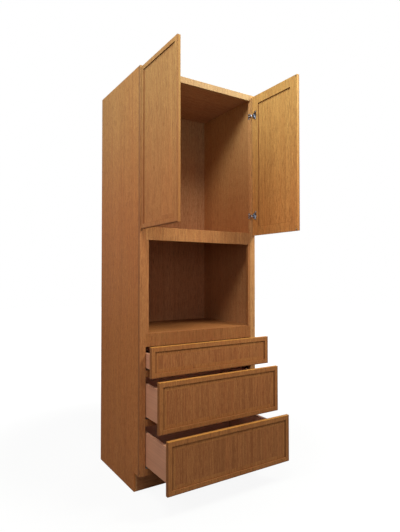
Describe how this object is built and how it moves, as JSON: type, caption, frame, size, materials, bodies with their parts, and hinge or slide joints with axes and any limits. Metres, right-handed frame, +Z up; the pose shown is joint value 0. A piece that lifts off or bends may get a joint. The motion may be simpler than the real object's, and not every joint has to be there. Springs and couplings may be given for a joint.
{
  "type": "oven cabinet",
  "caption": "Tall face-frame kitchen cabinet: open oven bay over framed drawers on concealed runners, and a cupboard above with framed doors on cup hinges.",
  "frame": {"origin": "on the floor, on the cabinet's centre line, in the plane of the wall behind it", "axes": "+X to the right seen from the front, +Y to the wall, +Z up"},
  "size_m": [0.8382, 1.0272, 2.4384],
  "materials": {
    "cabinet_veneer": "satin clear coat over honey-brown straight-grained veneer",
    "cabinet_interior": "satin",
    "toe_board": "satin, dark",
    "nailer_wood": "unfinished plywood",
    "drawer_maple": "clear-coated pale maple",
    "slide_steel": "zinc-plated",
    "hinge_nickel": "nickel-plated",
    "clip_plastic": "moulded",
    "bumper_rubber": "clear soft buttons"
  },
  "bodies": {
    "carcass": {"left_side_panel": "cabinet_veneer", "right_side_panel": "cabinet_veneer", "back_panel": "cabinet_interior", "top_panel": "cabinet_interior", "upper_deck": "cabinet_interior", "oven_deck": "cabinet_interior", "oven_deck_cleats": "cabinet_interior", "bottom_deck": "cabinet_interior", "toe_kick_board": "toe_board", "wall_nailers": "nailer_wood", "left_stile": "cabinet_veneer", "right_stile": "cabinet_veneer", "bottom_rail": "cabinet_veneer", "lower_drawer_rail": "cabinet_veneer", "upper_drawer_rail": "cabinet_veneer", "oven_sill_rail": "cabinet_veneer", "oven_head_rail": "cabinet_veneer", "top_rail": "cabinet_veneer", "oven_fillers": "cabinet_veneer", "slide_cabinet_members": "slide_steel", "slide_rear_brackets": "slide_steel", "left_hinge_arms": "hinge_nickel", "right_hinge_arms": "hinge_nickel"},
    "left_door": {"left_door_stiles": "cabinet_veneer", "left_door_rails": "cabinet_veneer", "left_door_panel": "cabinet_veneer", "left_hinge_cups": "hinge_nickel", "left_door_bumpers": "bumper_rubber"},
    "right_door": {"right_door_stiles": "cabinet_veneer", "right_door_rails": "cabinet_veneer", "right_door_panel": "cabinet_veneer", "right_hinge_cups": "hinge_nickel", "right_door_bumpers": "bumper_rubber"},
    "top_drawer": {"top_drawer_front_frame": "cabinet_veneer", "top_drawer_front_panel": "cabinet_veneer", "top_drawer_box_sides": "drawer_maple", "top_drawer_box_ends": "drawer_maple", "top_drawer_box_bottom": "drawer_maple", "top_drawer_slide_members": "slide_steel", "top_drawer_lock_clips": "clip_plastic"},
    "top_slide_middle": {"top_slide_middle_members": "slide_steel"},
    "middle_drawer": {"middle_drawer_front_frame": "cabinet_veneer", "middle_drawer_front_panel": "cabinet_veneer", "middle_drawer_box_sides": "drawer_maple", "middle_drawer_box_ends": "drawer_maple", "middle_drawer_box_bottom": "drawer_maple", "middle_drawer_slide_members": "slide_steel", "middle_drawer_lock_clips": "clip_plastic"},
    "middle_slide_middle": {"middle_slide_middle_members": "slide_steel"},
    "bottom_drawer": {"bottom_drawer_front_frame": "cabinet_veneer", "bottom_drawer_front_panel": "cabinet_veneer", "bottom_drawer_box_sides": "drawer_maple", "bottom_drawer_box_ends": "drawer_maple", "bottom_drawer_box_bottom": "drawer_maple", "bottom_drawer_slide_members": "slide_steel", "bottom_drawer_lock_clips": "clip_plastic"},
    "bottom_slide_middle": {"bottom_slide_middle_members": "slide_steel"}
  },
  "joints": [
    {"name": "left_door_hinge", "type": "hinge", "parent": "carcass", "child": "left_door", "pos_m": [-0.4061, -0.6227, 1.96423], "axis": [0, 0, -1], "range_deg": [-90, 15]},
    {"name": "right_door_hinge", "type": "hinge", "parent": "carcass", "child": "right_door", "pos_m": [0.4061, -0.6227, 1.96423], "axis": [0, 0, 1], "range_deg": [-90, 15]},
    {"name": "top_drawer_slide", "type": "slide", "parent": "carcass", "child": "top_drawer", "axis": [0, -1, 0], "range_m": [-0.1131, 0.3969]},
    {"name": "top_slide_middle_slide", "type": "slide", "parent": "carcass", "child": "top_slide_middle", "axis": [0, -1, 0], "range_m": [-0.05656, 0.19846]},
    {"name": "middle_drawer_slide", "type": "slide", "parent": "carcass", "child": "middle_drawer", "axis": [0, -1, 0], "range_m": [-0.2045, 0.3055]},
    {"name": "middle_slide_middle_slide", "type": "slide", "parent": "carcass", "child": "middle_slide_middle", "axis": [0, -1, 0], "range_m": [-0.10226, 0.15276]},
    {"name": "bottom_drawer_slide", "type": "slide", "parent": "carcass", "child": "bottom_drawer", "axis": [0, -1, 0], "range_m": [-0.3003, 0.2097]},
    {"name": "bottom_slide_middle_slide", "type": "slide", "parent": "carcass", "child": "bottom_slide_middle", "axis": [0, -1, 0], "range_m": [-0.15016, 0.10486]}
  ],
  "couplings": [
    {"joint": "top_slide_middle_slide", "follows": "top_drawer_slide", "ratio": 0.5},
    {"joint": "middle_slide_middle_slide", "follows": "middle_drawer_slide", "ratio": 0.5},
    {"joint": "bottom_slide_middle_slide", "follows": "bottom_drawer_slide", "ratio": 0.5}
  ]
}
